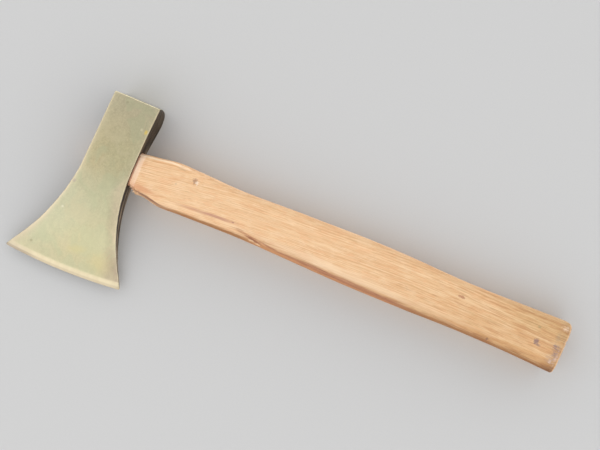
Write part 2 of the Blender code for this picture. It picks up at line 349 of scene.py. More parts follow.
def head_row(down, half, arc, inset, pulled_in):
    """One closed row: the upper cheek to the heel side, and back over the lower cheek."""
    toe, heel = head_width_at(down, arc, pulled_in)
    toe += inset
    heel -= inset
    even = np.linspace(0, 1, CHEEK_POINTS)
    across = 0.45 * even + 0.55 * (0.5 - 0.5 * np.cos(math.pi * even))
    turn = np.linspace(0, math.pi / 2, ARRIS_POINTS + 2)[1:-1]
    down_side = np.linspace(1, -1, SIDE_POINTS)
    worn = through(LOWER_HEEL_EDGE, down)
    cheeks = []
    for face in (0, 1):
        toe_r, heel_r = [min(arris_at(down, face + n), 0.45 * half) for n in (0, 2)]
        x = toe + toe_r + (heel - heel_r - toe - toe_r) * across
        near_toe = np.clip(1 - (x - toe) / TOE_ROLL_WIDTH, 0, None)
        near_heel = np.clip(1 - (heel - x) / HEEL_ROLL_WIDTH, 0, None)
        drop = through(TOE_ROLL, down) * near_toe**2 + through(HEEL_ROLL, down) * near_heel**2
        z = half - inset - np.minimum(drop, 0.45 * half)
        cheeks.append((x + face * worn * near_heel, z, toe_r, heel_r))
    (ux, uz, utr, uhr), (lx, lz, ltr, lhr) = cheeks
    heel_top, heel_low = uz[-1] - uhr, lz[-1] - lhr
    toe_top, toe_low = uz[0] - utr, lz[0] - ltr
    heel_side_z = (heel_top + heel_low) / 2 * down_side + (heel_top - heel_low) / 2
    toe_side_z = (toe_top + toe_low) / 2 * down_side + (toe_top - toe_low) / 2
    s, c = np.sin(turn), np.cos(turn)
    outline = np.concatenate([np.stack(part, 1) for part in (
        (ux, uz),
        (ux[-1] + uhr * s, heel_top + uhr * c),
        (heel + worn * (1 - down_side) / 2, heel_side_z),
        (lx[-1] + lhr * c, -heel_low - lhr * s),
        (lx[::-1], -lz[::-1]),
        (lx[0] - ltr * s, -toe_low - ltr * c),
        (np.full(SIDE_POINTS, toe), toe_side_z[::-1]),
        (ux[0] - utr * c, toe_top + utr * s),
    )])
    y = POLL_Y - down + arc * sag(outline[:, 0])
    return np.stack([outline[:, 0], y, outline[:, 1]], 1)


def around_head(cheek, arris, side):
    """Values round one row of the head, for its cheeks, arrises and narrow sides."""
    part = [np.full(CHEEK_POINTS, cheek), np.full(ARRIS_POINTS, arris),
            np.full(SIDE_POINTS, side), np.full(ARRIS_POINTS, arris)]
    return np.concatenate(part + part)


def half_near_edge(left):
    """Half the thickness at a distance from the cutting edge, below the ground bevel."""
    slope = (MICRO_BEVEL_THICKNESS - EDGE_THICKNESS) / MICRO_BEVEL
    return (EDGE_THICKNESS + slope * left) / 2 - corner(EDGE_THICKNESS / 2, left) * 0.9


def head_rows():
    """The head's rows from the middle of the poll face to the edge, and how far down each is."""
    rows = []
    downs = []

    def add(down, half, arc=0.0, inset=0.0, pulled_in=0.0):
        rows.append(head_row(down, half, arc, inset, pulled_in))
        downs.append(down)

    for turn in np.linspace(0, math.pi / 2, ARRIS_POINTS + 2):
        inset = ARRIS * (1 - math.sin(turn))
        add(ARRIS * (1 - math.cos(turn)), through(THICKNESS, 0) / 2, inset=inset)
    rings = cap_rings(rows[0], POLL_RINGS)
    rows[:0] = rings[::-1]
    downs[:0] = [0.0] * len(rings)
    bevel_at = HEAD_LENGTH - BEVEL
    steps = int((bevel_at - ARRIS) / HEAD_ROW)
    for down in np.linspace(ARRIS, bevel_at, steps + 1)[1:]:
        add(down, through(THICKNESS, down) / 2, float(smooth(down, ARC_STARTS, bevel_at)))
    top_half = through(THICKNESS, bevel_at) / 2
    low_half = half_near_edge(MICRO_BEVEL)
    for left in (*np.linspace(BEVEL, MICRO_BEVEL, 8)[1:], *EDGE_ROWS):
        up_bevel = max((left - MICRO_BEVEL) / (BEVEL - MICRO_BEVEL), 0)
        half = half_near_edge(min(left, MICRO_BEVEL)) + (top_half - low_half) * up_bevel
        add(HEAD_LENGTH - left, half, 1.0, pulled_in=corner(EDGE_CORNER_RADIUS, left))
    return rows, np.array(downs)


def eye_section(x, less, count=96):
    """The eye's outline at X, drawn in by a distance on every side."""
    along = (x - EYE_HEEL_X) / (EYE_TOE_X - EYE_HEEL_X)
    half_y, half_z = [(a + (b - a) * along) / 2 - less for a, b in zip(EYE_HEEL_SIZE, EYE_TOE_SIZE)]
    return oval(x, EYE_Y, half_y, half_z, EYE_EXPONENT, count)


def oval(x, centre_y, half_y, half_z, exponent, count):
    """An oval with flattened sides across X, as evenly spaced points."""
    angle = np.linspace(0, 2 * math.pi, 1441)
    c, s = np.cos(angle), np.sin(angle)
    y = np.sign(c) * np.abs(c) ** (2 / exponent) * half_y
    z = np.sign(s) * np.abs(s) ** (2 / exponent) * half_z
    run = np.concatenate([[0], np.cumsum(np.hypot(np.diff(y), np.diff(z)))])
    at = np.linspace(0, run[-1], count + 1)[:-1]
    return np.stack([np.full(count, float(x)), centre_y + np.interp(at, run, y),
                     np.interp(at, run, z)], 1)


def eye_cutter():
    """The eye, a little wider at both mouths where the casting was cleaned up."""
    toe_face, heel_face = [through(keys, POLL_Y - EYE_Y) for keys in (TOE_SIDE, HEEL_SIDE)]
    mouth = [(10, EYE_MOUTH + 4), (0, EYE_MOUTH), (-0.5, EYE_MOUTH * 0.35), (-1.2, 0)]
    sections = [eye_section(toe_face - out, -more) for out, more in mouth]
    sections += [eye_section(heel_face + out, -more) for out, more in reversed(mouth)]
    return loft("eye_cutter", sections)


def make_head(look):
    rows, downs = head_rows()
    head = loft("head_detail", rows)
    at = points_of(head)
    x, y, z = at.T
    down = np.repeat(downs, len(rows[0]))
    row = np.repeat(np.arange(len(rows)), len(rows[0]))
    poll = row < POLL_RINGS + 2
    poll_rim = (row >= POLL_RINGS) & (row <= POLL_RINGS + 4)
    arris = np.maximum(np.tile(around_head(0.0, 1.0, 0.0), len(rows)) * (1 - poll), poll_rim)
    side = np.tile(around_head(0.0, 0.4, 1.0), len(rows)) * (1 - poll)
    cheek = (1 - side) * (1 - poll)
    bevel_at = HEAD_LENGTH - BEVEL
    micro_at = HEAD_LENGTH - MICRO_BEVEL
    bevel = smooth(down, bevel_at - 0.6, bevel_at + 1.2) * (1 - side)
    micro = smooth(down, micro_at - 0.9, micro_at + 0.2)
    near_edge = smooth(down, HEAD_LENGTH - 9, HEAD_LENGTH - 5)

    # Rims along the sides and the poll, where the material paints highlights.
    from_toe, from_heel = [np.clip(sign * (x - np.interp(down, *zip(*keys))), 0, None)
                           for sign, keys in ((1, TOE_SIDE), (-1, HEEL_SIDE))]
    toe_width = TOE_RIM_WIDTH[0] + (TOE_RIM_WIDTH[1] - TOE_RIM_WIDTH[0]) * smooth(down, 80, 130)
    toe_rim_highlight = np.exp(-(from_toe / toe_width) ** 1.5) * cheek
    heel_rim_highlight = np.exp(-(from_heel / HEEL_RIM_WIDTH) ** 1.5) * cheek
    side_line = np.exp(-(np.minimum(from_toe, from_heel) / RIM_WIDTH) ** 2)
    rim = np.maximum(side_line, 0.25 * np.exp(-(down / RIM_WIDTH) ** 2)) * cheek

    flat = (1 - side) * (1 - arris)
    amount = flat * LINISHING * uneven(at, (15, 19, 40), 3, 2) * (1 - 0.8 * near_edge)
    amount += poll * POLL_UNEVENNESS * uneven(at, (5, 5, 5), 11, 2)
    broken = smooth(uneven(at, (9, 9, 9), 31), -0.35, 0.2)
    parting = PARTING_LINE * np.exp(-((z - 0.5) / 0.7) ** 2) * broken
    cast = side * (CASTING * uneven(at, (2.2, 8.0, 2.4), 21, 3) + parting)
    nicks = arris * NICK_DEPTH * smooth(uneven(at, (1.6, 1.6, 1.6), 41), 0.45, 0.75)
    amount += (cast - nicks) * (1 - near_edge)
    for dent_x, dent_y, radius, depth in CHEEK_DENTS:
        away = np.hypot(x - dent_x, y - dent_y) / radius
        amount -= depth * np.exp(-away**2) * (z > 0) * (1 - poll)
    push_out(head, amount)
    moved = points_of(head)
    cut(head, eye_cutter())
    kept = nearest(points_of(head), moved)
    values = zip(HEAD_VALUES, (arris, side, bevel, micro, rim, toe_rim_highlight, heel_rim_highlight))
    finish_piece(head, "head", look, 42, {name: value[kept] for name, value in values})


# ---- handle


def handle_section(x, inside):
    """One section of the handle outside the head; inside is the distance to the butt's end."""
    top = through(HANDLE_TOP, x) - corner(BUTT_TOP_RADIUS, inside)
    bottom = through(HANDLE_BOTTOM, x) + corner(BUTT_BOTTOM_RADIUS, inside)
    facet = COLLAR_FACET[0] + COLLAR_FACET[1] * (x - COLLAR_X)
    half_z = min(through(HANDLE_HALF_THICKNESS, max(x, 23.5)), facet)
    half_z -= corner(BUTT_FACE_RADIUS, inside)
    exponent = through(HANDLE_EXPONENT, x)
    return oval(x, (top + bottom) / 2, (top - bottom) / 2, half_z, exponent, HANDLE_POINTS)


def tongue_end_x(y):
    """The tongue is sawn off parallel to the head's toe side."""
    return TONGUE_END_X + TONGUE_END_SLOPE * (y - EYE_Y)


def handle_rows():
    end = eye_section(TONGUE_END_X, SNUG, HANDLE_POINTS)
    end[:, 0] = tongue_end_x(end[:, 1])
    inner = eye_section(TONGUE_END_X + 0.4, SNUG, HANDLE_POINTS)
    inner[:, 0] = tongue_end_x(inner[:, 1]) + 0.4
    soft_end = end.copy()
    soft_end[:, 1:] = (end[:, 1:] - [EYE_Y, 0]) * 0.975 + [EYE_Y, 0]
    rows = cap_rings(soft_end, CAP_RINGS)[::-1] + [soft_end, inner]
    tongue = np.arange(TONGUE_END_X + 3.0, COLLAR_X - 0.3, TONGUE_ROW)
    rows += [eye_section(x, SNUG, HANDLE_POINTS) for x in tongue]
    collar = np.arange(COLLAR_X, COLLAR_ENDS_X, COLLAR_ROW)
    rows += [handle_section(x, BUTT_X) for x in collar]
    grip = np.linspace(COLLAR_ENDS_X, BUTT_X - BUTT_TOP_RADIUS,
                       int((BUTT_X - COLLAR_ENDS_X) / HANDLE_ROW))
    rows += [handle_section(x, BUTT_X - x) for x in grip]
    for step in range(1, BUTT_STEPS + 1):
        inside = BUTT_TOP_RADIUS * (1 - math.sin(math.pi / 2 * step / BUTT_STEPS))
        rows.append(handle_section(BUTT_X - inside, inside))
    return rows + cap_rings(rows[-1], CAP_RINGS)


def kerf_cutter():
    """The slot that the wooden wedge opens in the tongue, and the saw kerf that runs past it."""
    half_end = KERF_WEDGE_THICKNESS[0] / 2 + SNUG
    half = [(TONGUE_END_X - 20, half_end), (TONGUE_END_X, half_end),
            (KERF_WEDGE_TIP_X, KERF / 2), (KERF_END_X, KERF / 2)]
    outline = half + [(x, -z) for x, z in reversed(half)]
    wide = EYE_TOE_SIZE[0]
    return loft("kerf_cutter", [[(x, y, z) for x, z in outline] for y in (-wide, wide)])


def cross_slot_cutter(y):
    rows = []
    for x, end in ((TONGUE_END_X - 20, 0), (TONGUE_END_X, 0), (CROSS_WEDGE_TIP_X + SNUG, 1)):
        half_y = CROSS_WEDGE_THICKNESS[end] / 2 + SNUG
        half_z = CROSS_WEDGE_WIDTH[end] / 2 + SNUG
        rows.append(oval(x, y, half_y, half_z, WEDGE_EXPONENT, SLOT_POINTS))
    return loft("slot_cutter", rows)


def pit(at, x, y, radius, depth, rim):
    """A dent in the upper face, with the wood raised round it by a share of its depth."""
    away = np.hypot(at[:, 0] - x, at[:, 1] - y) / radius
    upper = at[:, 2] > 3
    return upper * depth * (rim * np.exp(-((away - 1.5) / 0.4) ** 2) - np.exp(-away**2 * 1.3))


def splinter(start, end, width, sides=6):
    """A thin sliver of torn wood from start to end."""
    start, end = Vector(start), Vector(end)
    along = (end - start).normalized()
    out = along.cross(Vector((0, 0, 1))).normalized()
    other = along.cross(out)
    rows = []
    for share, size in ((0.0, 1.0), (0.3, 0.95), (0.6, 0.7), (0.85, 0.35), (1.0, 0.08)):
        lift = other * 0.25 * share**2
        row = []
        for i in range(sides):
            angle = 2 * math.pi * i / sides
            spoke = out * math.cos(angle) * width + other * math.sin(angle) * width * 0.5
            row.append(start.lerp(end, share) + lift + spoke * size)
        rows.append(row)
    return rows


def join(target, pieces):
    """Adds the meshes of other pieces to the target's mesh."""
    shape = bmesh.new()
    shape.from_mesh(target.data)
    for piece in pieces:
        shape.from_mesh(piece.data)
        bpy.data.objects.remove(piece, do_unlink=True)
    shape.to_mesh(target.data)
    shape.free()


def grain_of(at):
    """Where each point lies in the straight grain of the blank that the handle was cut from."""
    x = np.maximum(at[:, 0], -20.0)
    climb = GRAIN_RISE * (1 - np.exp(-x / GRAIN_RUN))
    sway = 0.9 * np.sin(x / 61.0 + 0.6) + 0.35 * np.sin(x / 23.0 + at[:, 1] / 14.0)
    return np.stack([at[:, 0], at[:, 1] - climb + sway, at[:, 2]], 1)


def make_handle(look):
    handle = loft("handle_detail", handle_rows())
    at = points_of(handle)
    x, y, z = at.T
    outside = smooth(x, COLLAR_X + 0.3, COLLAR_X + 2)
    butt = smooth(x, BUTT_X - 1.2, BUTT_X - 0.2)
    cap = smooth(-x, -TONGUE_END_X - 0.2, -TONGUE_END_X + 1)
    amount = sum(pit(at, *dent) for dent in PITS)
    for where, depth, size, seed in (
            (outside, 0.10, (34, 9, 9), 5), (outside, 0.03, (9, 2.5, 2.5), 9),
            (butt, 0.07, (3, 5, 1.6), 15), (cap, 0.08, (3, 4, 1.2), 17)):
        amount += where * depth * uneven(at, size, seed, 2)
    nick = np.hypot((x - 348.0) / 1.3, (y - 8.3) / 0.9)
    amount -= 0.55 * np.exp(-nick**2) * (z > 6)

    # The collar: its blade side is pared away, bitten at the joint, torn and fluted above.
    pared = smooth(x, 20.0, 24.5) * smooth(-x, -44.0, -30.0) * smooth(-y, 11.0, 15.0)
    bitten = smooth(x, COLLAR_X, COLLAR_X + 0.5) * smooth(-x, -25.5, -21.5) * smooth(-y, 9.5, 13.5)
    bite = smooth(z, -9.5, -6.5) * (1.65 + 0.85 * uneven(at, (1.7, 1.2, 2.2), 29, 2))
    torn_x = smooth(x, COLLAR_X - 0.2, COLLAR_X + 0.6) * (1 - smooth(x, 25.0, 30.0))
    torn = torn_x * smooth(-y, 10.5, 13.0) * smooth(z, 1.5, 5.0)
    flute = torn_x * smooth(-y, 6.0, 9.0) * smooth(z, 5.0, 7.5)
    amount -= bitten * bite + pared * PARED
    amount += torn * (0.65 * uneven(at, (3.2, 0.9, 1.3), 25, 3) - 0.3)
    amount += flute * 0.22 * uneven(at, (4.5, 1.1, 2.0), 27, 2)
    split = np.abs(y - SPLIT_Y + SPLIT_SLOPE * (x - SPLIT_X)) / SPLIT_HALF_WIDTH
    split_x = smooth(x, 23.0, 26.0) * smooth(-x, -45.0, -38.0)
    amount -= SPLIT_DEPTH * np.exp(-split**2) * split_x * (z > 3)
    push_out(handle, amount)
    cut(handle, kerf_cutter())
    for middle in CROSS_WEDGE_YS.values():
        cut(handle, cross_slot_cutter(middle))
    whole = len(handle.data.vertices)
    join(handle, [loft("sliver", splinter(*sliver)) for sliver in SLIVERS])

    at = points_of(handle)
    x, y, z = at.T
    along, up, out = normals_of(handle).T
    ends = (x < TONGUE_END_X + 1.2) | (x > BUTT_X - 1.2)
    # The butt's rounded rim, where the material paints a highlight.
    end_rim_highlight = smooth(along, 0.10, 0.45) * (1 - smooth(along, 0.60, 0.85))
    torn = np.interp(x, [17, 19, 24, 29], [0, 1, 1, 0]) * smooth(-y, 9, 12) * smooth(z, 1, 4)
    upper = smooth(out, -0.15, 0.35)
    # The last two values mask painted shade on the blade-side arris and painted shade and highlight
    # on the poll-side arris.
    values = (smooth(np.abs(along), *SAWN_FACING) * ends,
              end_rim_highlight * smooth(x, BUTT_X - 3.0, BUTT_X - 2.0), torn, np.arange(len(at)) >= whole,
              smooth(-up, 0.02, 0.75) ** 0.8 * upper, smooth(up, 0.1, 0.7) * upper)
    finish_piece(handle, "handle", look, 38,
                 {"grain": grain_of(at), **dict(zip(HANDLE_VALUES, values))})


# ---- wedges


def wedge_rows(middle, size_y, size_z, tip_x, count):
    """A wedge's rows from its tip to its head. Each size is given at the head and at the tip."""
    rows = []
    for share in np.linspace(1, 0, WEDGE_ROWS):
        half_y, half_z = [(head + (tip - head) * share) / 2 for head, tip in (size_y, size_z)]
        row = oval(0.0, middle, half_y, half_z, WEDGE_EXPONENT, count)
        end = tongue_end_x(row[:, 1]) - WEDGES_PROUD
        row[:, 0] = end + (tip_x - end) * share
        rows.append(row)
    return rows


def make_wedge(node, rows, look, crease, struck_x, dents, slots=()):
    """Closes the rows at both ends, and dents the head that the hammer struck."""
    rows = cap_rings(rows[0], 3)[::-1] + rows + cap_rings(rows[-1], CAP_RINGS)
    wedge = loft(node + "_detail", rows)
    at = points_of(wedge)
    depth, *lumps = dents
    push_out(wedge, smooth(-at[:, 0], *struck_x) * depth * uneven(at, *lumps))
    for middle in slots:
        cut(wedge, cross_slot_cutter(middle))
    end = smooth(np.abs(normals_of(wedge)[:, 0]), *SAWN_FACING)
    finish_piece(wedge, node, look, crease, {"end": end})


def make_kerf_wedge(look):
    rows = wedge_rows(EYE_Y, KERF_WEDGE_WIDTH, KERF_WEDGE_THICKNESS, KERF_WEDGE_TIP_X,
                      2 * WEDGE_POINTS)
    rim = rows[-1].copy()
    rim[:, 1:] = (rim[:, 1:] - [EYE_Y, 0]) * [0.985, 0.9] + [EYE_Y, 0]
    rim[:, 0] -= 0.12
    make_wedge("kerf_wedge", rows + [rim], look, 38, (15.5, 17.5),
               (0.10, (2.0, 2.6, 0.7), 33, 3), CROSS_WEDGE_YS.values())


def make_cross_wedge(node, middle, look):
    """A metal wedge whose head is spread by the hammer that drove it."""
    rows = wedge_rows(middle, CROSS_WEDGE_THICKNESS, CROSS_WEDGE_WIDTH, CROSS_WEDGE_TIP_X,
                      WEDGE_POINTS)
    spread = rows[-1][:, 1:] - [middle, 0]
    outward = spread / np.linalg.norm(spread, axis=1)[:, None]
    base = rows[-1]
    for proud, wider in ((0.02, 0.10), (0.10, 0.08), (0.18, -0.04)):
        row = base.copy()
        row[:, 1:] += outward * wider
        row[:, 0] -= proud
        rows.append(row)
    make_wedge(node, rows, look, 50, (16.5, 17.6),
               (0.09, (1.6, 1.3, 1.3), 37 + middle, 2))


# ---- materials

# Small marks on the cheek: x, y, radius, share, colour.
CHEEK_MARKS = [
    (13.3, 28.9, 0.9, 0.5, (0.8, 0.72, 0.5)), (-19.9, -43.8, 0.8, 0.5, (0.8, 0.76, 0.6)),
    (-2.7, 43.3, 0.8, 0.35, (0.34, 0.3, 0.19)), (-33.2, -76.5, 1.0, 0.5, (0.3, 0.27, 0.16)),
    (-18.6, -22.9, 1.3, 0.5, (0.34, 0.27, 0.27)),
]
# Marks on the handle's upper face: x, y, half lengths along x and y, softness, share, colour.
HANDLE_MARKS = [
    # painted shade and painted highlight on the two sides of the dent at x 62.4
    (61.6, 10.3, 1.7, 2.0, 0.5, 0.6, (0.33, 0.19, 0.13)),
    (63.3, 9.5, 1.1, 1.2, 0.5, 0.75, (0.95, 0.78, 0.62)),
    (114.3, -13.3, 2.2, 0.55, 0.6, 0.48, (0.95, 0.7, 0.42)),
    (119.6, -14.0, 1.9, 0.55, 0.6, 0.48, (0.95, 0.7, 0.42)),
    (97.6, -6.2, 0.8, 0.6, 0.6, 0.6, (0.36, 0.15, 0.12)),
    (50.1, 14.4, 2.6, 0.6, 0.8, 0.4, (0.42, 0.3, 0.2)),
    (49.8, 3.2, 0.7, 0.6, 0.7, 0.35, (0.38, 0.26, 0.18)),
    (267.3, 9.0, 2.3, 0.9, 0.6, 0.75, (0.42, 0.16, 0.08)),
    (295.8, -11.6, 0.7, 1.3, 0.5, 0.75, (0.22, 0.11, 0.07)),
    (326.1, 11.1, 1.1, 0.8, 0.6, 0.5, (0.34, 0.28, 0.13)),
    (328.1, 0.8, 1.7, 1.9, 0.5, 0.8, (0.24, 0.15, 0.15)),
    (329.6, -1.0, 2.0, 0.9, 0.7, 0.6, (0.28, 0.18, 0.16)),
    (342.4, 2.2, 1.7, 2.4, 0.7, 0.65, (0.27, 0.18, 0.18)),
    (341.3, 9.0, 1.3, 3.0, 0.9, 0.35, (0.36, 0.29, 0.2)),
    (344.2, -2.5, 1.8, 4.6, 0.7, 0.68, (0.3, 0.205, 0.195)),
    (342.2, -7.2, 2.6, 2.6, 0.8, 0.45, (0.42, 0.31, 0.29)),
    (345.6, -5.4, 0.9, 4.6, 0.8, 0.4, (0.82, 0.6, 0.5)),
    (342.6, -9.0, 0.8, 1.2, 0.8, 0.4, (0.84, 0.64, 0.54)),
    (343.8, 17.1, 2.2, 1.4, 0.8, 0.5, (0.9, 0.72, 0.55)),
]
HATCHED_FROM_X = 335.0
# The reddish streak above the lower arris, in two lengths: x, y, half length, share.
RED_STREAK = [(68.0, -8.6, 10.0, 0.4), (85.0, -7.2, 12.0, 0.66)]


class Nodes:
    """Nodes in one tree. Places and sizes are in millimetres in the tool's axes."""

    def __init__(self, tree):
        self.tree = tree

    def add(self, kind, **settings):
        node = self.tree.nodes.new("ShaderNode" + kind)
        for name, value in settings.items():
            setattr(node, name, value)
        return node

    def feed(self, socket, value):
        if isinstance(value, bpy.types.NodeSocket):
            self.tree.links.new(value, socket)
        else:
            socket.default_value = value

    def fill(self, node, **values):
        for name, value in values.items():
            self.feed(node.inputs[name.replace("_", " ")], value)

    def attribute(self, name, output="Fac"):
        return self.add("Attribute", attribute_name=name).outputs[output]

    def maths(self, operation, *values, kind="Math", output="Value"):
        node = self.add(kind, operation=operation)
        for socket, value in zip(node.inputs, values):
            self.feed(socket, value)
        return node.outputs[output]

    def vector(self, operation, *values):
        output = "Value" if operation == "DOT_PRODUCT" else "Vector"
        return self.maths(operation, *values, kind="VectorMath", output=output)

    def times(self, *values):
        return reduce(lambda a, b: self.maths("MULTIPLY", a, b), values)

    def plus(self, *values):
        return reduce(lambda a, b: self.maths("ADD", a, b), values)

    def swing(self, value, reach):
        """Noise from 0 to 1 as a wobble round 0."""
        return self.times(self.maths("SUBTRACT", value, 0.5), reach)

    def off(self, value, centre):
        """How far a value is from a centre, on either side."""
        return self.maths("ABSOLUTE", self.plus(value, -centre))

    def mixed(self, first, second, share):
        """The first number where share is 0 and the second where it is 1."""
        rest = self.times(first, self.maths("SUBTRACT", 1.0, share))
        return self.plus(rest, self.times(second, share))

    def part(self, axis, where):
        node = self.add("SeparateXYZ")
        self.feed(node.inputs[0], where)
        return node.outputs[axis]

    def span(self, value, low, high, to_low=0.0, to_high=1.0):
        """A soft step that goes from to_low to to_high as the value goes from low to high."""
        node = self.add("MapRange", interpolation_type="SMOOTHSTEP")
        self.fill(node, Value=value, From_Min=low, From_Max=high, To_Min=to_low, To_Max=to_high)
        return node.outputs["Result"]

    def mix(self, share, first, second, blend="MIX"):
        node = self.add("Mix", data_type="RGBA", blend_type=blend)
        self.fill(node, Factor=share)
        for socket, colour in zip([s for s in node.inputs if s.type == "RGBA"], (first, second)):
            self.feed(socket, (*colour, 1.0) if isinstance(colour, tuple) else colour)
        return [s for s in node.outputs if s.type == "RGBA"][0]


class Look(Nodes):
    """A material of the hatchet, built on the attributes stored in the meshes."""

    def __init__(self, name):
        self.material = bpy.data.materials.new(name)
        self.material.use_nodes = True
        super().__init__(self.material.node_tree)
        self.tree.nodes.clear()
        self.shader = self.add("BsdfPrincipled")
        self.fill(self.add("OutputMaterial"), Surface=self.shader.outputs["BSDF"])
        self.place = self.attribute("tool", "Vector")

    def tools(self):
        """The methods that every look uses most."""
        return self.span, self.noise, self.spot, self.times, self.plus, self.swing

    def set(self, **values):
        self.fill(self.shader, **values)

    def scaled(self, size, where, offset):
        scale = tuple(1 / s for s in size)
        return self.vector("MULTIPLY_ADD", where or self.place, scale, offset)

    def noise(self, size, seed, detail=2.0, rough=0.5, bend=0.0, where=None):
        """Noise from 0 to 1, with lumps of this size along each axis."""
        node = self.add("TexNoise")
        self.fill(node, Vector=self.scaled(size, where, (seed, seed * 1.7, seed * 0.6)),
                  Scale=1.0, Detail=detail, Roughness=rough, Distortion=bend)
        return node.outputs["Fac"]

    def cells(self, size, seed):
        """Distance to the nearest of scattered points, which are about this far apart."""
        node = self.add("TexVoronoi")
        self.fill(node, Vector=self.scaled(size, None, (seed, seed * 1.3, seed * 0.7)), Scale=1.0)
        return node.outputs["Distance"]

    def spot(self, x, y, half_x, half_y, soft=0.5, wobble=None, turn=0.0):
        """1 inside an ellipse round a place in the X-Y plane, 0 outside it; turn is in degrees."""
        c, s = math.cos(math.radians(turn)), math.sin(math.radians(turn))
        moved = self.vector("SUBTRACT", self.place, (x, y, 0.0))
        u = self.vector("DOT_PRODUCT", moved, (c / half_x, s / half_x, 0.0))
        v = self.vector("DOT_PRODUCT", moved, (-s / half_y, c / half_y, 0.0))
        away = self.maths("SQRT", self.plus(self.times(u, u), self.times(v, v)))
        if wobble:
            away = self.plus(away, wobble)
        return self.span(away, 1 + soft, 1 - soft)

    def bump(self, height, depth, **under):
        """Relief as deep as this many millimetres for heights from 0 to 1."""
        node = self.add("Bump")
        self.fill(node, Distance=depth * MM, Height=height, **under)
        return node.outputs["Normal"]


class Coat:
    """A colour built up in layers, each as strong as the product of its shares.

    A share is a number or a socket, or a tuple, which stands for the soft step of that span.
    """

    def __init__(self, look, share, first, second):
        self.look = look
        self.colour = look.mix(share, first, second)

    def over(self, colour, *shares):
        """Lays a colour over what is there."""
        shares = [self.look.span(*s) if isinstance(s, tuple) else s for s in shares]
        self.colour = self.look.mix(self.look.times(*shares), self.colour, colour)

    def dye(self, colour, *shares):
        """Multiplies what is there by a colour."""
        self.over(self.look.mix(1.0, self.colour, colour, "MULTIPLY"), *shares)

    def shade(self, level):
        """Multiplies what is there by a number."""
        grey = self.look.add("CombineColor")
        for socket in grey.inputs:
            self.look.feed(socket, level)
        self.colour = self.look.mix(1.0, self.colour, grey.outputs[0], "MULTIPLY")


